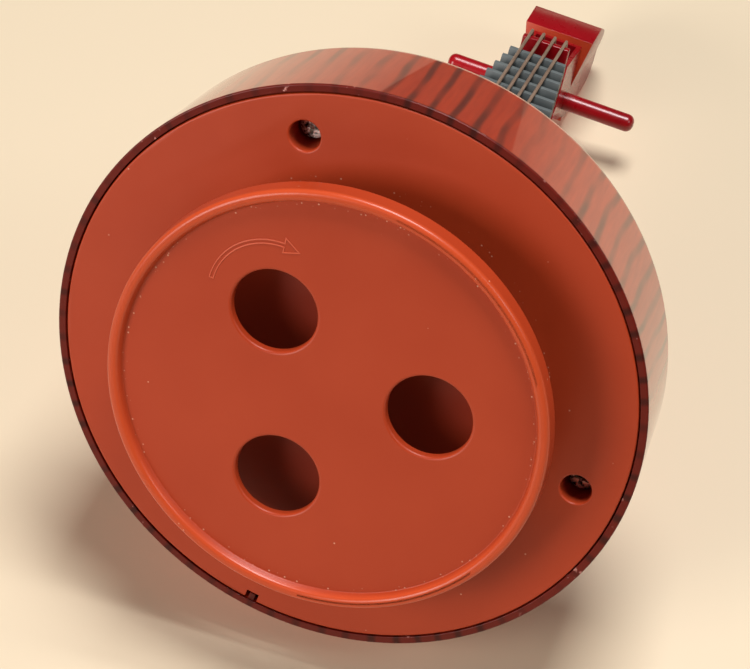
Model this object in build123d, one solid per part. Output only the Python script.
from build123d import *
import math
import os

# A wind-up music box: a small four-string lute stands on a lacquered drum, and the drum stands
# and revolves on its winding disc. Millimetres, +Z up, the lute faces -Y, and the origin is at
# the centre of the ring on which the winding disc rests on the table.

# Driving dimensions: fits
SHAFT_GAP = 0.05
SEAT_GAP = 0.02
RUN_GAP = 0.3
CUT = 1.0

# Driving dimensions: drum shell
RIM_Z = 11.5
SHELL_R = 50.0
SHELL_TOP_R = 48.2
SHELL_H = 23.1
SHELL_WALL = 1.3
SHELL_ROOF = 2.0
SHELL_ROUND = 3.0
KEY_W = 1.0
KEY_DEPTH = 1.3
KEY_H = 8.0
KEY_ANGLE = 97.2

# Driving dimensions: base plate and its screws
PLATE_T = 2.2
PLATE_GAP = 0.25
PLATE_EDGE_ROUND = 0.3
NOTCH_SIDE_GAP = 0.6
NOTCH_END_GAP = 0.5
SCREW_INSET = 6.9
SCREW_ANGLE = 7.2
WELL_R = 2.6
WELL_WALL = 1.5
WELL_DEPTH = 5.7
WELL_FLOOR = 1.5
WELL_ROUND = 0.35
BOSS_R = 3.6
BASE_SCREW = {"head_r": 2.2, "head_h": 1.7, "shank_r": 1.3, "length": 10.0}

# Driving dimensions: screw shape, as shares of the head or shank
SCREW_HEAD_ROUND = 0.45
SCREW_SLOT_L = 1.15
SCREW_SLOT_W = 0.3
SCREW_SLOT_DEPTH = 0.6
SCREW_POINT = 0.2

# Driving dimensions: winding disc
DISC_R = 36.9
DISC_T = 1.5
DISC_RIM_H = 4.0
DISC_RIM_W = 2.2
DISC_RIM_LAND = 0.4
FACE_RECESS = 1.4
HUB_R = 6.0
HUB_GAP = 0.6
SOCKET_FLOOR = 1.2
FINGER_HOLE_R = 7.15
FINGER_CIRCLE_R = 17.0
FINGER_ANGLE = 106.4
FINGER_EDGE_ROUND = 0.5
ARROW_R = 11.6
ARROW_W = 1.1
ARROW_RELIEF = 0.25
ARROW_START = -173.3
ARROW_SWEEP = 76.0
ARROW_HEAD_W = 3.4
ARROW_HEAD_SWEEP = 17.0

# Driving dimensions: winding arbor, ratchet and spring
ARBOR_R = 2.5
ARBOR_SQUARE = 3.4
ARBOR_CORE_R = 3.2
BUSH_WALL = 1.0
BUSH_FLANGE_W = 1.6
BUSH_FLANGE_T = 0.8
CLIP_R = 3.6
CLIP_T = 0.5
RATCHET_R = 5.0
RATCHET_TEETH = 12
RATCHET_DEPTH = 1.0
RATCHET_T = 1.0
RATCHET_SLEEVE = 1.0
CLICK_PIN_R = 0.7
CLICK_PLACE = 9.0
CLICK_W = 1.6
CLICK_NOSE_ANGLE = -24.0
CLICK_HEEL_ANGLE = -30.0
CASE_R = 13.0
CASE_WALL = 0.8
CASE_H = 7.0
SPRING_T = 0.4
SPRING_W = 5.0
SPRING_PITCH = 1.1

# Driving dimensions: bedplate
STANDOFF_R = 3.2
BED_T = 1.6
BED_LEFT = -24.5
BED_RIGHT = 24.0
BED_BACK_R = 18.0
BED_WALL_GAP = 0.5
BED_END_INSET = 1.4
BED_SCREW = {"head_r": 2.0, "head_h": 1.3, "shank_r": 1.0}
BED_SCREW_BITE = 1.0
BED_SCREW_PLACES = [(-18.0, 8.0), (18.0, 8.0), (20.0, 33.0)]
BEARING_T = 1.2
BEARING_W = 7.0
BEARING_TOP = 3.0

# Driving dimensions: pinned cylinder and comb
ROOF_GAP = 0.5
CYLINDER_R = 5.5
CYLINDER_GAP = 0.9
CYLINDER_WALL = 0.8
CYLINDER_START = 19.0
CYL_ARBOR_R = 1.0
PLUG_T = 1.2
TRACKS = 18
PINS_PER_TRACK = 3
PIN_TURN = 47.0
PIN_R = 0.2
PIN_H = 0.6
COMB_T = 1.0
COMB_REACH = 7.6
COMB_BASE_W = 9.0
COMB_SLOT = 0.3
COMB_SLOT_STEP = 0.2
COMB_SCREW = {"head_r": 1.7, "head_h": 1.1, "shank_r": 0.9, "length": 5.0}
COMB_SCREW_INSET = 2.6

# Driving dimensions: gear teeth
CROWN_MODULE = 0.7
CROWN_TEETH = 44
CROWN_FACE = 3.0
CROWN_T = 1.0
PINION_TEETH = 12
PINION_FACE = 2.4
TRAIN_MODULE = 0.4
CYL_WHEEL_TEETH = 30
GOV_PINION_TEETH = 10
GOV_WHEEL_TEETH = 30
FAN_PINION_TEETH = 8
TRAIN_FACE = 1.0
TRAIN_STEP = 0.4
TOOTH_SHARE = 0.38
TIP_SHARE = 0.2
ROOT_SHARE = 0.54
TRAIN_ADDENDUM = 0.8
TRAIN_DEDENDUM = 1.15
CROWN_ADDENDUM = 0.57
CROWN_DEDENDUM = 0.93

# Driving dimensions: governor
TRAIN_PLATE_GAP = 2.4
TRAIN_LEFT = -12.0
TRAIN_FOOT_L = 4.4
TRAIN_FOOT_W = 5.0
TRAIN_SCREW = {"head_r": 1.5, "head_h": 1.0, "shank_r": 0.8, "length": 2.6}
STUB_R = 0.8
SPINDLE_R = 0.6
FAN_R = 5.8
FAN_T = 0.5
FAN_END_GAP = 3.6
FAN_HUB_R = 1.3
FAN_BEARING_INSET = 6.0

# Driving dimensions: lute body; each section is height, half width, depth behind the soundboard
BODY_FRONT = 8.0
BODY_WALL = 2.0
BODY_SECTIONS = [
    (0.0, 11.0, 8.0),
    (5.5, 17.6, 12.5),
    (19.0, 21.0, 15.5),
    (36.0, 17.4, 13.6),
    (50.0, 11.8, 9.8),
    (60.1, 8.35, 7.0),
]
STUD_R = 1.8
STUD_X = 6.0
STUD_Y = -4.6
BOARD_T = 1.5
BRIDGE_Z = 11.0
BRIDGE_H = 4.0
BRIDGE_W = 16.0
BRIDGE_RISE = 1.2
BRIDGE_SLOPE = 1.6
BOARD_FRETS = 8
BOARD_FRET_PITCH = 4.6
BOARD_FRET_T = 0.9
BOARD_FRET_W = 14.0
BOARD_FRET_TAPER = 0.35

# Driving dimensions: lute neck, strings, pegs and head
NECK_L = 24.3
NECK_FRONT = 12.24
NECK_LEAN = 6.84
NECK_WAIST = 0.7
NECK_WAIST_BACK = 4.5
NUT_HALF_W = 4.9
NUT_T = 1.2
FRET_PITCH = 3.3
FRET_START = 1.8
FRET_STRIP_T = 0.8
FRET_BASE = 2.9
FRET_RIDGE = 0.8
FRET_GAP = 0.15
STRING_R = 0.45
STRING_PITCH = 2.25
STRING_RISE = 4.6
PEGBOX_L = 11.0
PEGBOX_FRONT = 15.2
PEGBOX_BACK = -1.0
PEGBOX_ROUND = 1.2
PEGBOX_ROOF = 1.0
SLOT_HALF_W = 4.0
SLOT_FLOOR = 2.4
PEG_R = 1.72
PEG_DEPTH = 4.5
PEG_RISE = 8.6
PEG_TIP_X = 18.9
PEG_TIP_ROUND = 1.4
PEG_SPLIT = 0.3
PEG_COVER = 2.1
HEAD_HALF_W = 6.75
HEAD_FRONT = 16.5
HEAD_SLOPE = 1.0
HEAD_LIP_H = 6.0
HEAD_TAPER = 10.0
HEAD_CROWN_POINTS = [(13.2, 9.0), (7.6, 14.2), (2.4, 14.2), (0.2, 10.6)]
HEAD_NAPE_POINT = (-0.4, 4.5)

# Levels and places that follow: drum
SHELL_TOP_Z = RIM_Z + SHELL_H
ROOF_Z = SHELL_TOP_Z - SHELL_ROOF
SLIM_R = min(SHELL_R, SHELL_TOP_R)
PLATE_TOP_Z = RIM_Z + PLATE_T
PLATE_R = SHELL_R - SHELL_WALL - PLATE_GAP
KEY_REACH_R = SHELL_R - SHELL_WALL - KEY_DEPTH
SCREW_CIRCLE_R = SLIM_R - SCREW_INSET
SEAT_Z = RIM_Z + WELL_DEPTH
TOWER_TOP_Z = SEAT_Z + WELL_FLOOR
FACE_TOP_Z = FACE_RECESS + DISC_T
SOCKET_Z = FACE_TOP_Z + SOCKET_FLOOR
HUB_TOP_Z = RIM_Z - HUB_GAP

# Levels that follow: movement, down from the drum's roof to the cylinder's axis, and the bedplate
MOVEMENT_TURN = SCREW_ANGLE - 30.0
ARBOR_TOP_Z = ROOF_Z - ROOF_GAP
CLIP_Z = ARBOR_TOP_Z - CLIP_T
CROWN_TOP_Z = CLIP_Z - SHAFT_GAP
CROWN_ROOT_Z = CROWN_TOP_Z - CROWN_T
CROWN_PITCH_Z = CROWN_ROOT_Z - CROWN_DEDENDUM * CROWN_MODULE
CROWN_TIP_Z = CROWN_PITCH_Z - CROWN_ADDENDUM * CROWN_MODULE
AXIS_Z = CROWN_PITCH_Z - CROWN_MODULE * PINION_TEETH / 2
BED_TOP_Z = AXIS_Z - CYLINDER_R - PIN_H - CYLINDER_GAP
BED_Z = BED_TOP_Z - BED_T
STANDOFF_H = BED_Z - PLATE_TOP_Z
BED_SCREW["length"] = BED_T + STANDOFF_H + BED_SCREW_BITE
CASE_TOP_Z = BED_TOP_Z + CASE_H
SPRING_ROOM = CASE_R - CASE_WALL - ARBOR_CORE_R - SPRING_T - 2 * RUN_GAP
SPRING_TURNS = int(SPRING_ROOM / SPRING_PITCH)
BEARING_TOP_Z = AXIS_Z + BEARING_TOP
RATCHET_TOP_Z = CROWN_ROOT_Z - RUN_GAP
RATCHET_Z = RATCHET_TOP_Z - RATCHET_T

# Places that follow: movement, in its own axes with the cylinder along +Y, in from the drum's wall
CROWN_PITCH_R = CROWN_MODULE * CROWN_TEETH / 2
PINION_START = CROWN_PITCH_R - PINION_FACE / 2
INNER_BEARING_Y = CYLINDER_START - RUN_GAP - BEARING_T
BED_REACH_R = SLIM_R - SHELL_WALL - BED_WALL_GAP
BED_END_Y = BED_REACH_R - BED_END_INSET
TRAIN_FACE_Y = BED_END_Y - TRAIN_FOOT_L
TRAIN_PLATE_Y = TRAIN_FACE_Y - BEARING_T
CYLINDER_END = TRAIN_PLATE_Y - TRAIN_PLATE_GAP
CYLINDER_L = CYLINDER_END - CYLINDER_START
TRACK_PITCH = CYLINDER_L / TRACKS
FAST_WHEEL_Y = TRAIN_FACE_Y + TRAIN_STEP
SLOW_WHEEL_Y = FAST_WHEEL_Y + TRAIN_FACE + TRAIN_STEP
TRAIN_END_Y = SLOW_WHEEL_Y + TRAIN_FACE
GOV_X = TRAIN_MODULE * (CYL_WHEEL_TEETH + GOV_PINION_TEETH) / 2
FAN_X = GOV_X + TRAIN_MODULE * (GOV_WHEEL_TEETH + FAN_PINION_TEETH) / 2
FAN_BEARING_Y = CYLINDER_START + FAN_BEARING_INSET
FAN_START = FAN_BEARING_Y + BEARING_T + 2 * RUN_GAP
FAN_L = TRAIN_PLATE_Y - FAN_END_GAP - FAN_START
COMB_TIP_X = -(CYLINDER_R + PIN_H + RUN_GAP)
COMB_ROOT_X = COMB_TIP_X - COMB_REACH
COMB_BACK_X = COMB_ROOT_X - COMB_BASE_W
COMB_Z = AXIS_Z - COMB_T / 2
COMB_SCREW_X = COMB_BACK_X + COMB_SCREW_INSET
COMB_SCREW_PLACES = [
    (COMB_SCREW_X, CYLINDER_START + CYLINDER_L / 4),
    (COMB_SCREW_X, CYLINDER_END - CYLINDER_L / 4),
]
TRAIN_SCREW_Y = TRAIN_FACE_Y + TRAIN_FOOT_L / 2
TRAIN_SCREW_PLACES = [
    (TRAIN_LEFT + TRAIN_FOOT_W / 2, TRAIN_SCREW_Y),
    (FAN_X - TRAIN_FOOT_W / 4, TRAIN_SCREW_Y),
]

# Levels and places that follow: lute
LEAN = math.radians(NECK_LEAN)
BOARD_FRONT = BODY_FRONT + BOARD_T
NECK_Z, NECK_HALF_W, NECK_DEPTH = BODY_SECTIONS[-1]
NECK_Z += SHELL_TOP_Z
NECK_TOP_Z = NECK_Z + NECK_L
NUT_V = NECK_L / math.cos(LEAN)
FRET_STRIP_L = NUT_V - NUT_T - RUN_GAP
FRET_ROOM = FRET_STRIP_L + RUN_GAP / 2 - FRET_START - FRET_BASE / 2
FRETS = 1 + int(FRET_ROOM / FRET_PITCH)
PEG_Z = NECK_TOP_Z + PEG_RISE
PEGBOX_TOP_Z = NECK_TOP_Z + PEGBOX_L
HEAD_LIP_Z = PEGBOX_TOP_Z + HEAD_LIP_H
STRING_XS = [(number - 1.5) * STRING_PITCH for number in range(4)]
NECK_PLANE = Plane(
    origin=(0, -NECK_FRONT, NECK_Z),
    x_dir=(1, 0, 0),
    z_dir=(0, -math.cos(LEAN), -math.sin(LEAN)),
)

UPWARD = (Align.CENTER, Align.CENTER, Align.MIN)
DOWNWARD = (Align.CENTER, Align.CENTER, Align.MAX)
CORNER = (Align.MIN, Align.MIN, Align.MIN)


def bar(radius, z_low, z_high, x=0.0, y=0.0):
    """An upright round bar between two heights."""
    return Pos(x, y, z_low) * Cylinder(radius, z_high - z_low, align=UPWARD)


def axle(radius, y_low, y_high, x=0.0):
    """A round bar along the movement's Y axis, at the height of the cylinder's axis."""
    return Pos(x, y_low, AXIS_Z) * Rot(-90, 0, 0) * Cylinder(radius, y_high - y_low, align=UPWARD)


def block(x_low, x_high, y_low, y_high, z_low, z_high):
    """A box between its low and high faces."""
    size = (x_high - x_low, y_high - y_low, z_high - z_low)
    return Pos(x_low, y_low, z_low) * Box(*size, align=CORNER)


def on_circle(radius, *angles):
    """Points on a circle about the origin."""
    return [(radius * math.cos(math.radians(a)), radius * math.sin(math.radians(a))) for a in angles]


def thirds(radius, angle):
    """Three points a third of a turn apart."""
    return on_circle(radius, angle, angle + 120, angle + 240)


def plate_from(points, thickness):
    """A flat piece with a straight-edged outline."""
    return extrude(make_face(Polyline(*points, close=True)), thickness)


def bored(shape, radius, z_low, z_high, places=((0.0, 0.0),)):
    """A shape with upright holes through a range of heights."""
    for x, y in places:
        shape -= bar(radius, z_low, z_high, x, y)
    return shape


def screw(size, head_down):
    """A cross-recessed pan-head screw with its seat at z = 0."""
    head = Cylinder(size["head_r"], size["head_h"], align=DOWNWARD)
    head = fillet(head.edges().sort_by(Axis.Z)[0], size["head_h"] * SCREW_HEAD_ROUND)
    slot_l = size["head_r"] * SCREW_SLOT_L
    slot = Box(slot_l, size["head_r"] * SCREW_SLOT_W, size["head_h"] * SCREW_SLOT_DEPTH, align=UPWARD)
    for turn in (0, 90):
        head -= Pos(0, 0, -size["head_h"]) * Rot(0, 0, turn) * slot
    tip_l = size["shank_r"]
    shank_l = size["length"] - tip_l
    shank = Cylinder(size["shank_r"], shank_l, align=UPWARD)
    tip = Cone(size["shank_r"], size["shank_r"] * SCREW_POINT, tip_l, align=UPWARD)
    whole = head + shank + Pos(0, 0, shank_l) * tip
    return whole if head_down else Rot(180, 0, 0) * whole


def screws(size, places, seat_z, head_down):
    """A group of equal screws."""
    return Compound([Pos(x, y, seat_z) * screw(size, head_down) for x, y in places])


def gear_points(teeth, module, tooth_at, addendum, dedendum):
    """Outline of a small spur gear with straight-sided teeth, one of them at a given angle."""
    pitch_r = module * teeth / 2
    root_r = pitch_r - dedendum * module
    tip_r = pitch_r + addendum * module
    half = 180 / teeth
    points = []
    for number in range(teeth):
        middle = tooth_at + number * 2 * half
        points += on_circle(root_r, middle - half * ROOT_SHARE)
        points += on_circle(pitch_r, middle - half * TOOTH_SHARE)
        points += on_circle(tip_r, middle - half * TIP_SHARE, middle + half * TIP_SHARE)
        points += on_circle(pitch_r, middle + half * TOOTH_SHARE)
        points += on_circle(root_r, middle + half * ROOT_SHARE)
    return points


def spur(points, y_low, y_high, x, bore_r):
    """A spur gear on an axle along Y; its outline is seen with X right and Z up."""
    gear = Pos(x, y_high, AXIS_Z) * Rot(90, 0, 0) * plate_from(points, y_high - y_low)
    return gear - axle(bore_r, y_low - CUT, y_high + CUT, x)


def train_spur(teeth, tooth_at, y_low, y_high, x, bore_r):
    points = gear_points(teeth, TRAIN_MODULE, tooth_at, TRAIN_ADDENDUM, TRAIN_DEDENDUM)
    return spur(points, y_low, y_high, x, bore_r)


def make_base_shell():
    """A tapered cup, open below, with screw bosses and a key rib."""

    def radius_at(z):
        return SHELL_R + (SHELL_TOP_R - SHELL_R) * (z - RIM_Z) / SHELL_H

    outer = Cone(SHELL_R, SHELL_TOP_R, SHELL_H, align=UPWARD)
    outer = fillet(outer.edges().sort_by(Axis.Z)[-1], SHELL_ROUND)
    inner = Cone(SHELL_R - SHELL_WALL, radius_at(ROOF_Z) - SHELL_WALL, ROOF_Z - RIM_Z, align=UPWARD)
    inner = fillet(inner.edges().sort_by(Axis.Z)[-1], SHELL_ROUND - SHELL_WALL)
    shell = Pos(0, 0, RIM_Z) * (outer - inner)
    bosses = thirds(SCREW_CIRCLE_R, SCREW_ANGLE)
    for x, y in bosses:
        shell += bar(BOSS_R, TOWER_TOP_Z, ROOF_Z + SHELL_ROOF / 2, x, y)
    pilot_top = SEAT_Z + BASE_SCREW["length"] + RUN_GAP
    shell = bored(shell, BASE_SCREW["shank_r"] + SEAT_GAP, TOWER_TOP_Z - CUT, pilot_top, bosses)
    key = block(
        KEY_REACH_R, SHELL_R - SHELL_WALL / 2, -KEY_W / 2, KEY_W / 2, RIM_Z + RUN_GAP, RIM_Z + KEY_H
    )
    shell += Rot(0, 0, KEY_ANGLE) * key
    studs = [(-STUD_X, STUD_Y), (STUD_X, STUD_Y)]
    return bored(shell, STUD_R + SEAT_GAP, ROOF_Z - CUT, SHELL_TOP_Z + CUT, studs)


def make_base_plate():
    """The plate that closes the drum, with screw wells, standoffs and a seat for the bush."""
    plate = bar(PLATE_R, RIM_Z, PLATE_TOP_Z)
    plate = fillet(plate.edges().sort_by(Axis.Z)[0], PLATE_EDGE_ROUND)
    wells = thirds(SCREW_CIRCLE_R, SCREW_ANGLE)
    for x, y in wells:
        plate += bar(WELL_R + WELL_WALL, PLATE_TOP_Z - PLATE_T / 2, TOWER_TOP_Z, x, y)
    plate = bored(plate, WELL_R, RIM_Z - CUT, SEAT_Z, wells)
    mouths = [
        edge
        for edge in plate.edges().filter_by(GeomType.CIRCLE).group_by(Axis.Z)[0]
        if abs(edge.radius - WELL_R) < SEAT_GAP
    ]
    plate = fillet(mouths, WELL_ROUND)
    plate = bored(plate, BASE_SCREW["shank_r"] + SEAT_GAP, SEAT_Z - CUT, TOWER_TOP_Z + CUT, wells)
    places = [(Rot(0, 0, MOVEMENT_TURN) * Pos(x, y, 0)).position for x, y in BED_SCREW_PLACES]
    places = [(place.X, place.Y) for place in places]
    for x, y in places:
        plate += bar(STANDOFF_R, PLATE_TOP_Z - PLATE_T / 2, BED_Z, x, y)
    hole_z = BED_TOP_Z - BED_SCREW["length"] - RUN_GAP
    plate = bored(plate, BED_SCREW["shank_r"] + SEAT_GAP, hole_z, BED_Z + CUT, places)
    notch_half = KEY_W / 2 + NOTCH_SIDE_GAP
    notch = block(
        KEY_REACH_R - NOTCH_END_GAP, SHELL_R, -notch_half, notch_half, RIM_Z - CUT, PLATE_TOP_Z + CUT
    )
    plate -= Rot(0, 0, KEY_ANGLE) * notch
    bush_r = ARBOR_R + SHAFT_GAP + BUSH_WALL
    return bored(plate, bush_r + SEAT_GAP, RIM_Z - CUT, PLATE_TOP_Z + CUT)


def make_arbor_bush():
    bush_r = ARBOR_R + SHAFT_GAP + BUSH_WALL
    bush = bar(bush_r, RIM_Z, PLATE_TOP_Z + BUSH_FLANGE_T)
    bush += bar(bush_r + BUSH_FLANGE_W, PLATE_TOP_Z, PLATE_TOP_Z + BUSH_FLANGE_T)
    return bored(bush, ARBOR_R + SHAFT_GAP, RIM_Z - CUT, BED_Z)


def make_arrow():
    """A raised arrow round one finger hole, clockwise as seen from below."""
    end = ARROW_START + ARROW_SWEEP
    outer = ARROW_R + ARROW_W / 2
    inner = ARROW_R - ARROW_W / 2
    start_edge = Line(on_circle(inner, ARROW_START)[0], on_circle(outer, ARROW_START)[0])
    end_edge = Line(on_circle(inner, end)[0], on_circle(outer, end)[0])
    arcs = [CenterArc((0, 0), radius, ARROW_START, ARROW_SWEEP) for radius in (inner, outer)]
    height = ARROW_RELIEF + DISC_T / 2
    shaft = extrude(make_face(Wire([start_edge, end_edge] + arcs)), height)
    points = on_circle(ARROW_R + ARROW_HEAD_W / 2, end)
    points += on_circle(ARROW_R - ARROW_HEAD_W / 2, end)
    points += on_circle(ARROW_R, end + ARROW_HEAD_SWEEP)
    x, y = on_circle(FINGER_CIRCLE_R, FINGER_ANGLE + 120)[0]
    return Pos(x, y, FACE_RECESS - ARROW_RELIEF) * (shaft + plate_from(points, height))


def make_winding_disc():
    """The foot: a shallow dish with a rounded rim, three finger holes, an arrow and a hub."""
    inner_r = DISC_R - DISC_RIM_W
    disc = bar(DISC_R, 0, DISC_RIM_H)
    disc = bored(disc, inner_r, -CUT, FACE_RECESS)
    disc = bored(disc, inner_r, FACE_TOP_Z, DISC_RIM_H + CUT)
    disc = fillet(disc.edges().group_by(Axis.Z)[0], (DISC_RIM_W - DISC_RIM_LAND) / 2)
    disc = fillet(disc.edges().group_by(Axis.Z)[-1], DISC_RIM_LAND)
    holes = thirds(FINGER_CIRCLE_R, FINGER_ANGLE)
    disc = bored(disc, FINGER_HOLE_R, FACE_RECESS - CUT, FACE_TOP_Z + CUT, holes)
    lips = [
        edge
        for edge in disc.edges().filter_by(GeomType.CIRCLE)
        if abs(edge.radius - FINGER_HOLE_R) < SEAT_GAP and edge.center().Z < FACE_TOP_Z - SEAT_GAP
    ]
    disc = fillet(lips, FINGER_EDGE_ROUND)
    disc += bar(HUB_R, FACE_TOP_Z - DISC_T / 2, HUB_TOP_Z)
    half = ARBOR_SQUARE / 2 + SEAT_GAP
    disc -= block(-half, half, -half, half, SOCKET_Z, HUB_TOP_Z + CUT)
    return disc + make_arrow()


def make_winding_arbor():
    """Square in the disc's hub, round in the bush, with a core inside the spring case."""
    half = ARBOR_SQUARE / 2
    arbor = bar(ARBOR_R, HUB_TOP_Z, ARBOR_TOP_Z)
    arbor += block(-half, half, -half, half, SOCKET_Z + SEAT_GAP, HUB_TOP_Z)
    return arbor + bar(ARBOR_CORE_R, BED_TOP_Z + RUN_GAP, CASE_TOP_Z - CASE_WALL - RUN_GAP)


def make_arbor_clip():
    return bored(bar(CLIP_R, CLIP_Z, ARBOR_TOP_Z), ARBOR_R + SEAT_GAP, CLIP_Z - CUT, ARBOR_TOP_Z + CUT)


def make_ratchet_wheel():
    """Saw teeth on a sleeve that stands on the spring case."""
    step = 360 / RATCHET_TEETH
    points = []
    for number in range(RATCHET_TEETH):
        points += on_circle(RATCHET_R, number * step)
        points += on_circle(RATCHET_R - RATCHET_DEPTH, number * step)
    wheel = Pos(0, 0, RATCHET_Z) * plate_from(points, RATCHET_T)
    wheel += bar(ARBOR_R + RATCHET_SLEEVE, CASE_TOP_Z + RUN_GAP, RATCHET_TOP_Z)
    return bored(wheel, ARBOR_R + SEAT_GAP, CASE_TOP_Z, CROWN_ROOT_Z)


def make_crown_wheel():
    """A wheel with face teeth pointing down, a gap between teeth standing over the pinion."""
    half = math.pi * CROWN_MODULE / 2
    flank = half * TOOTH_SHARE
    tip = half * TIP_SHARE
    root = 2 * flank - tip
    depth = CROWN_ROOT_Z - CROWN_TIP_Z
    points = [(-root, CROWN_T / 2), (-root, 0), (-tip, -depth), (tip, -depth), (root, 0), (root, CROWN_T / 2)]
    ridge = extrude(Plane.XZ * make_face(Polyline(*points, close=True)), -CROWN_FACE)
    ridge = Pos(0, CROWN_PITCH_R - CROWN_FACE / 2, CROWN_ROOT_Z) * ridge
    step = 360 / CROWN_TEETH
    wheel = bar(CROWN_PITCH_R + CROWN_FACE / 2, CROWN_ROOT_Z, CROWN_TOP_Z)
    wheel += [Rot(0, 0, (number + 0.5) * step) * ridge for number in range(CROWN_TEETH)]
    wheel = bored(wheel, ARBOR_R + SEAT_GAP, CROWN_ROOT_Z - CUT, CROWN_TOP_Z + CUT)
    pin_place = [(CLICK_PLACE, 0.0)]
    return bored(wheel, CLICK_PIN_R + SEAT_GAP, CROWN_ROOT_Z - CUT, CROWN_TOP_Z + CUT, pin_place)


def make_click():
    """The pawl that hangs under the crown wheel with its nose between two ratchet teeth."""
    nose_r = RATCHET_R + RUN_GAP
    points = [(CLICK_PLACE - CLICK_W, 0.0)] + on_circle(nose_r, CLICK_NOSE_ANGLE)
    points += on_circle(nose_r + CLICK_W / 2, CLICK_HEEL_ANGLE) + [(CLICK_PLACE, -CLICK_W)]
    click = Pos(0, 0, RATCHET_Z) * plate_from(points, RATCHET_T)
    click += bar(CLICK_W, RATCHET_Z, CROWN_ROOT_Z - SEAT_GAP, CLICK_PLACE)
    return bored(click, CLICK_PIN_R + SEAT_GAP, RATCHET_Z - CUT, CROWN_ROOT_Z + CUT, [(CLICK_PLACE, 0.0)])


def make_click_pin():
    return bar(CLICK_PIN_R, RATCHET_Z, CROWN_TOP_Z, CLICK_PLACE)


def make_spring_case():
    case = bar(CASE_R, BED_TOP_Z, CASE_TOP_Z)
    case = bored(case, CASE_R - CASE_WALL, BED_TOP_Z - CUT, CASE_TOP_Z - CASE_WALL)
    return bored(case, ARBOR_R + SHAFT_GAP, BED_TOP_Z, CASE_TOP_Z + CUT)


def make_mainspring():
    """A flat spiral of half-circle arcs about two centres, half a pitch apart."""
    start = ARBOR_CORE_R + RUN_GAP + SPRING_T / 2
    sides = {-1: [], 1: []}
    for number in range(2 * SPRING_TURNS):
        middle = start + SPRING_PITCH / 4 + number * SPRING_PITCH / 2
        centre = (SPRING_PITCH / 4 * (-1 if number % 2 == 0 else 1), 0)
        for side, arcs in sides.items():
            arcs.append(CenterArc(centre, middle + side * SPRING_T / 2, 180 * (number % 2), 180))
    inner, outer = sides[-1], sides[1]
    ends = [Line(inner[0] @ 0, outer[0] @ 0), Line(inner[-1] @ 1, outer[-1] @ 1)]
    strip = make_face(Wire(inner + outer + ends))
    room = CASE_H - CASE_WALL - SPRING_W
    return Pos(0, 0, BED_TOP_Z + room / 2) * extrude(strip, SPRING_W)


def make_bedplate():
    """The frame of the movement, with a lug for the cylinder and one for the fan."""
    bed = block(BED_LEFT, BED_RIGHT, 0, BED_END_Y, BED_Z, BED_TOP_Z) & bar(BED_REACH_R, BED_Z, BED_TOP_Z)
    bed += bar(BED_BACK_R, BED_Z, BED_TOP_Z)
    for x, y, half, hole_r in (
        (0.0, INNER_BEARING_Y, BEARING_W / 2, CYL_ARBOR_R + SHAFT_GAP),
        (FAN_X, FAN_BEARING_Y, BEARING_W / 4, SPINDLE_R + SHAFT_GAP),
    ):
        bed += block(x - half, x + half, y, y + BEARING_T, BED_Z, BEARING_TOP_Z)
        bed -= axle(hole_r, y - CUT, y + BEARING_T + CUT, x)
    bed = bored(bed, ARBOR_R + SHAFT_GAP, BED_Z - CUT, BED_TOP_Z + CUT)
    bed = bored(bed, BED_SCREW["shank_r"] + SEAT_GAP, BED_Z - CUT, BED_TOP_Z + CUT, BED_SCREW_PLACES)
    return bored(bed, TRAIN_SCREW["shank_r"] + SEAT_GAP, BED_Z - CUT, BED_TOP_Z + CUT, TRAIN_SCREW_PLACES)


def make_pin_cylinder():
    """A tube with a few pins on every track, spread round it."""
    tube = axle(CYLINDER_R, CYLINDER_START, CYLINDER_END)
    tube -= axle(CYLINDER_R - CYLINDER_WALL, CYLINDER_START - CUT, CYLINDER_END + CUT)
    pin = bar(PIN_R, CYLINDER_R - CYLINDER_WALL / 2, CYLINDER_R + PIN_H)
    pins = []
    for track in range(TRACKS):
        y = CYLINDER_START + (track + 0.5) * TRACK_PITCH
        for number in range(PINS_PER_TRACK):
            turn = number * 360 / PINS_PER_TRACK + (track + 0.5) * PIN_TURN
            pins.append(Pos(0, y, AXIS_Z) * Rot(0, turn, 0) * pin)
    return tube + pins


def make_cylinder_plugs():
    plugs = []
    for y in (CYLINDER_START, CYLINDER_END - PLUG_T):
        plug = axle(CYLINDER_R - CYLINDER_WALL - SEAT_GAP, y, y + PLUG_T)
        plugs.append(plug - axle(CYL_ARBOR_R + SEAT_GAP, y - CUT, y + PLUG_T + CUT))
    return Compound(plugs)


def make_cylinder_arbor():
    return axle(CYL_ARBOR_R, PINION_START, TRAIN_END_Y + RUN_GAP)


def make_cylinder_pinion():
    points = gear_points(PINION_TEETH, CROWN_MODULE, 90, CROWN_ADDENDUM, CROWN_DEDENDUM)
    return spur(points, PINION_START, PINION_START + PINION_FACE, 0, CYL_ARBOR_R + SEAT_GAP)


def make_cylinder_wheel():
    return train_spur(CYL_WHEEL_TEETH, 0, SLOW_WHEEL_Y, TRAIN_END_Y, 0, CYL_ARBOR_R + SEAT_GAP)


def make_comb():
    """Steel teeth, longer towards the low notes."""
    top = COMB_Z + COMB_T
    comb = block(COMB_BACK_X, COMB_TIP_X, CYLINDER_START, CYLINDER_END, COMB_Z, top)
    half = COMB_SLOT / 2
    for number in range(1, TRACKS):
        y = CYLINDER_START + number * TRACK_PITCH
        end = COMB_ROOT_X - number * COMB_SLOT_STEP
        comb -= block(end, COMB_TIP_X + CUT, y - half, y + half, COMB_Z - CUT, top + CUT)
    return bored(comb, COMB_SCREW["shank_r"] + SEAT_GAP, COMB_Z - CUT, top + CUT, COMB_SCREW_PLACES)


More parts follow.
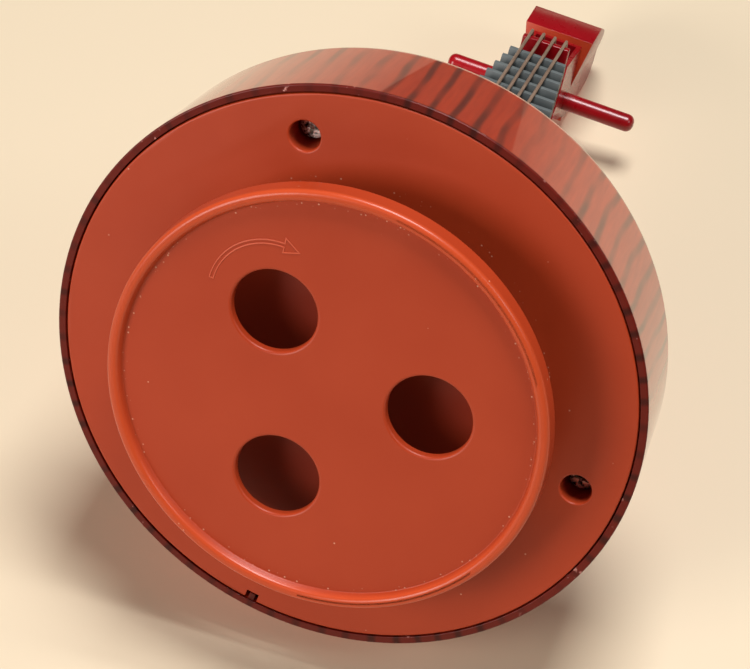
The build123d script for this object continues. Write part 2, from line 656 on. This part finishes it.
def make_comb_block():
    edge = COMB_ROOT_X - TRACKS * COMB_SLOT_STEP
    riser = block(COMB_BACK_X, edge, CYLINDER_START, CYLINDER_END, BED_TOP_Z, COMB_Z)
    hole_z = COMB_Z + COMB_T - COMB_SCREW["length"] - RUN_GAP
    return bored(riser, COMB_SCREW["shank_r"] + SEAT_GAP, hole_z, COMB_Z + CUT, COMB_SCREW_PLACES)


def make_train_plate():
    """The outer bearing plate, on two feet screwed to the bedplate."""
    foot_top = BED_TOP_Z + BEARING_T
    right = FAN_X + BEARING_W / 2
    plate = block(TRAIN_LEFT, right, TRAIN_PLATE_Y, TRAIN_FACE_Y, BED_TOP_Z, BEARING_TOP_Z)
    half = TRAIN_FOOT_W / 2
    for x, y in TRAIN_SCREW_PLACES:
        foot = block(x - half, x + half, TRAIN_PLATE_Y, BED_END_Y, BED_TOP_Z, foot_top)
        plate += foot & bar(BED_REACH_R, BED_TOP_Z, foot_top)
    plate = bored(plate, TRAIN_SCREW["shank_r"] + SEAT_GAP, BED_Z, foot_top + CUT, TRAIN_SCREW_PLACES)
    for x, radius in (
        (0.0, CYL_ARBOR_R + SHAFT_GAP),
        (GOV_X, STUB_R + SEAT_GAP),
        (FAN_X, SPINDLE_R + SHAFT_GAP),
    ):
        plate -= axle(radius, TRAIN_PLATE_Y - CUT, TRAIN_FACE_Y + CUT, x)
    return plate


def make_governor_stub():
    return axle(STUB_R, TRAIN_PLATE_Y, TRAIN_END_Y + RUN_GAP, GOV_X)


def make_governor_wheel():
    bore_r = STUB_R + SHAFT_GAP
    wheel = train_spur(GOV_WHEEL_TEETH, 0, FAST_WHEEL_Y, FAST_WHEEL_Y + TRAIN_FACE, GOV_X, bore_r)
    tooth_at = 180 + 180 / GOV_PINION_TEETH
    return wheel + train_spur(GOV_PINION_TEETH, tooth_at, FAST_WHEEL_Y, TRAIN_END_Y, GOV_X, bore_r)


def make_fan_spindle():
    end = FAST_WHEEL_Y + TRAIN_FACE
    tooth_at = 180 + 180 / FAN_PINION_TEETH
    pinion = train_spur(FAN_PINION_TEETH, tooth_at, FAST_WHEEL_Y, end, FAN_X, SPINDLE_R / 2)
    return pinion + axle(SPINDLE_R, FAN_BEARING_Y - RUN_GAP, end + RUN_GAP, FAN_X)


def make_fan():
    end = FAN_START + FAN_L
    fan = block(FAN_X - FAN_R, FAN_X + FAN_R, FAN_START, end, AXIS_Z - FAN_T / 2, AXIS_Z + FAN_T / 2)
    fan += axle(FAN_HUB_R, FAN_START, end, FAN_X)
    return fan - axle(SPINDLE_R + SEAT_GAP, FAN_START - CUT, end + CUT, FAN_X)


def d_section(z, half_w, front, depth):
    """A section across the lute: straight in front, half an ellipse behind."""
    plane = Plane(origin=(0, -front, z), x_dir=(1, 0, 0), z_dir=(0, 0, 1))
    flat = Line((-half_w, 0), (half_w, 0))
    curve = EllipticalCenterArc((0, 0), half_w, depth, start_angle=0, arc_size=180)
    return plane * make_face(Wire([flat, curve]))


def make_lute_back():
    """The hollow bowl of the lute, with two studs that go into the drum's roof."""
    back = loft([d_section(SHELL_TOP_Z + z, w, BODY_FRONT, depth) for z, w, depth in BODY_SECTIONS])
    hollow = loft(
        [
            d_section(SHELL_TOP_Z + z + BODY_WALL, w - BODY_WALL, BODY_FRONT, depth - BODY_WALL)
            for z, w, depth in BODY_SECTIONS[1:-1]
        ]
    )
    back -= hollow
    for side in (-1, 1):
        back += bar(STUD_R, ROOF_Z + RUN_GAP, SHELL_TOP_Z + BODY_WALL, side * STUD_X, STUD_Y)
    return back


def make_soundboard():
    right = [(half_w, SHELL_TOP_Z + z) for z, half_w, depth in BODY_SECTIONS]
    left = [(-x, z) for x, z in right]
    ends = [Line(right[0], left[0]), Line(right[-1], left[-1])]
    outline = make_face(Wire([Spline(*right), Spline(*left)] + ends))
    return Pos(0, -BODY_FRONT, 0) * extrude(Plane.XZ * outline, BOARD_T)


def string_v(z):
    """Place along the strings, measured from the neck's foot, at a height."""
    return (z - NECK_Z + STRING_RISE * math.sin(LEAN)) / math.cos(LEAN)


def string_point(x, v):
    return NECK_PLANE.from_local_coords(Vector(x, v, STRING_RISE))


def string_front(z):
    """How far the strings stand in front of the drum's axis, at a height."""
    return -string_point(0, string_v(z)).Y


STRING_FOOT_V = string_v(SHELL_TOP_Z + BRIDGE_Z + BRIDGE_H / 2)


def string_run(x, radius, v_low, v_high):
    run = Cylinder(radius, v_high - v_low, align=UPWARD)
    return NECK_PLANE * Pos(x, v_low, STRING_RISE) * Rot(-90, 0, 0) * run


def from_side(points, half_w):
    """A piece with a side outline, given as distance in front of the axis and height."""
    outline = [(-front, z) for front, z in points]
    return extrude(Plane.YZ * make_face(Polyline(*outline, close=True)), half_w, both=True)


def make_bridge():
    low = SHELL_TOP_Z + BRIDGE_Z
    high = low + BRIDGE_H
    crest = string_front(high) + BRIDGE_RISE
    bridge = from_side(
        [(BOARD_FRONT, low), (crest, low + BRIDGE_SLOPE), (crest, high), (BOARD_FRONT, high)], BRIDGE_W / 2
    )
    for x in STRING_XS:
        bridge -= string_run(x, STRING_R + SEAT_GAP, STRING_FOOT_V - SEAT_GAP, 0)
    return bridge


def make_string(x):
    """A string from the bridge over the nut, then back into the pegbox to its peg."""
    bend_v = NUT_V + 2 * STRING_R
    bend = string_point(x, bend_v)
    way = Vector(x, -PEG_DEPTH, PEG_Z) - bend
    tail = Cylinder(STRING_R, way.length - PEG_R - STRING_R * math.sin(LEAN), align=UPWARD)
    tail = Plane(origin=bend, z_dir=way.normalized()) * tail
    return string_run(x, STRING_R, STRING_FOOT_V, bend_v) + Pos(bend) * Sphere(STRING_R) + tail


def make_board_frets():
    """Thin bars on the soundboard, each as high as the strings allow."""
    bars = []
    for number in range(BOARD_FRETS):
        half_w = BOARD_FRET_W / 2 - number * BOARD_FRET_TAPER / 2
        low = NECK_Z - BOARD_FRET_PITCH * (number + 0.5)
        crest = string_front(low) - STRING_R - FRET_GAP
        bars.append(block(-half_w, half_w, -crest, -BOARD_FRONT, low, low + BOARD_FRET_T))
    return Compound(bars)


def neck_half_width(v):
    return NECK_HALF_W + (NUT_HALF_W - NECK_HALF_W) * v / NUT_V


def make_neck():
    """The neck, with an open pegbox above the nut."""
    stations = []
    for share, back in ((0, BODY_FRONT - NECK_DEPTH), (NECK_WAIST, NECK_WAIST_BACK), (1, NECK_WAIST_BACK)):
        z = NECK_Z + share * NECK_L
        front = NECK_FRONT + share * NECK_L * math.tan(LEAN)
        stations.append(d_section(z, neck_half_width(share * NUT_V), front, front - back))
    neck = loft(stations, ruled=True)
    pegbox = from_side(
        [
            (PEGBOX_FRONT, NECK_TOP_Z),
            (PEGBOX_FRONT, PEGBOX_TOP_Z),
            (PEGBOX_BACK, PEGBOX_TOP_Z),
            (PEG_DEPTH - PEG_COVER * PEG_R, PEG_Z),
            (NECK_WAIST_BACK, NECK_TOP_Z),
        ],
        NUT_HALF_W,
    )
    rear = [edge for edge in pegbox.edges() if edge.length < 2 * NUT_HALF_W and edge.center().Y > -PEG_DEPTH]
    rear = [edge for edge in rear if abs(abs(edge.center().X) - NUT_HALF_W) < SEAT_GAP]
    pegbox = fillet([edge for edge in rear if abs(edge.center().Z - PEGBOX_TOP_Z) > SEAT_GAP], PEGBOX_ROUND)
    slot_low = NECK_TOP_Z + RUN_GAP
    slot_high = PEGBOX_TOP_Z - PEGBOX_ROOF
    slot = block(-SLOT_HALF_W, SLOT_HALF_W, -2 * PEGBOX_FRONT, -SLOT_FLOOR, slot_low, slot_high)
    hole = Rot(0, 90, 0) * Cylinder(PEG_R + SEAT_GAP, 4 * NUT_HALF_W)
    return neck + pegbox - slot - Pos(0, -PEG_DEPTH, PEG_Z) * hole


def make_neck_frets():
    """A dark moulded strip of wedge-shaped frets, narrower towards the nut."""
    low_w = neck_half_width(0) - RUN_GAP
    top_w = neck_half_width(FRET_STRIP_L) - RUN_GAP
    corners = [(-low_w, 0), (low_w, 0), (top_w, FRET_STRIP_L), (-top_w, FRET_STRIP_L)]
    strip = plate_from(corners, FRET_STRIP_T)
    crest = STRING_RISE - STRING_R - FRET_GAP
    for number in range(FRETS):
        v = FRET_START + number * FRET_PITCH
        wedge = [
            (v - FRET_BASE / 2, FRET_STRIP_T / 2),
            (v + FRET_BASE / 2, FRET_STRIP_T / 2),
            (v + FRET_RIDGE / 2, crest),
            (v - FRET_RIDGE / 2, crest),
        ]
        half_w = neck_half_width(v) - RUN_GAP
        strip += extrude(Plane.YZ * make_face(Polyline(*wedge, close=True)), half_w, both=True)
    return NECK_PLANE * strip


def make_nut():
    half_w = NUT_HALF_W - RUN_GAP
    return NECK_PLANE * block(-half_w, half_w, NUT_V - NUT_T, NUT_V, 0, STRING_RISE - STRING_R - SEAT_GAP)


def make_peg(side):
    """A plain rod with a rounded tip, from the middle of the pegbox outwards."""
    rod = Cylinder(PEG_R, PEG_TIP_X - PEG_SPLIT, align=UPWARD)
    rod = fillet(rod.edges().sort_by(Axis.Z)[-1], PEG_TIP_ROUND)
    return Pos(side * PEG_SPLIT, -PEG_DEPTH, PEG_Z) * Rot(0, 90 * side, 0) * rod


def make_lute_head():
    """A head that overhangs the pegbox in front and at both sides, then curls back."""
    lip = (-HEAD_FRONT - HEAD_SLOPE, HEAD_LIP_Z)
    front_foot = (-HEAD_FRONT, PEGBOX_TOP_Z)
    back_foot = (-PEGBOX_BACK, PEGBOX_TOP_Z)
    crown = [(-front, HEAD_LIP_Z + rise) for front, rise in HEAD_CROWN_POINTS]
    nape = (-HEAD_NAPE_POINT[0], HEAD_LIP_Z + HEAD_NAPE_POINT[1])
    curves = [Line(back_foot, front_foot), Line(front_foot, lip)]
    curves += [Spline(lip, *crown), Spline(crown[-1], nape, back_foot)]
    head = extrude(Plane.YZ * make_face(Wire(curves)), HEAD_HALF_W, both=True)
    half_plan = [
        (NUT_HALF_W, SHELL_R),
        (NUT_HALF_W, HEAD_TAPER - HEAD_FRONT),
        (HEAD_HALF_W, -HEAD_FRONT),
        (HEAD_HALF_W, -SHELL_R),
    ]
    plan = half_plan + [(-x, y) for x, y in reversed(half_plan)]
    return head & Pos(0, 0, PEGBOX_TOP_Z) * plate_from(plan, SHELL_R)


NODES = {
    "base_shell": make_base_shell(),
    "base_plate": make_base_plate(),
    "base_screws": screws(BASE_SCREW, thirds(SCREW_CIRCLE_R, SCREW_ANGLE), SEAT_Z, True),
    "winding_disc": make_winding_disc(),
    "winding_arbor": make_winding_arbor(),
    "arbor_bush": make_arbor_bush(),
    "lute_back": make_lute_back(),
    "soundboard": make_soundboard(),
    "bridge": make_bridge(),
    "board_frets": make_board_frets(),
    "neck": make_neck(),
    "neck_frets": make_neck_frets(),
    "nut": make_nut(),
    "lute_head": make_lute_head(),
    "peg_left": make_peg(-1),
    "peg_right": make_peg(1),
}
for number, x in enumerate(STRING_XS, start=1):
    NODES["string_" + str(number)] = make_string(x)

MOVEMENT = {
    "arbor_clip": make_arbor_clip(),
    "ratchet_wheel": make_ratchet_wheel(),
    "click": make_click(),
    "click_pin": make_click_pin(),
    "crown_wheel": make_crown_wheel(),
    "spring_case": make_spring_case(),
    "mainspring": make_mainspring(),
    "bedplate": make_bedplate(),
    "bedplate_screws": screws(BED_SCREW, BED_SCREW_PLACES, BED_TOP_Z, False),
    "pin_cylinder": make_pin_cylinder(),
    "cylinder_plugs": make_cylinder_plugs(),
    "cylinder_arbor": make_cylinder_arbor(),
    "cylinder_pinion": make_cylinder_pinion(),
    "cylinder_wheel": make_cylinder_wheel(),
    "comb": make_comb(),
    "comb_block": make_comb_block(),
    "comb_screws": screws(COMB_SCREW, COMB_SCREW_PLACES, COMB_Z + COMB_T, False),
    "train_plate": make_train_plate(),
    "train_screws": screws(TRAIN_SCREW, TRAIN_SCREW_PLACES, BED_TOP_Z + BEARING_T, False),
    "governor_stub": make_governor_stub(),
    "governor_wheel": make_governor_wheel(),
    "fan_spindle": make_fan_spindle(),
    "fan": make_fan(),
}
for name, shape in MOVEMENT.items():
    NODES[name] = Rot(0, 0, MOVEMENT_TURN) * shape

os.makedirs("parts", exist_ok=True)
for name, shape in NODES.items():
    export_step(shape, "parts/" + name + ".step")
print(len(NODES), "nodes written")
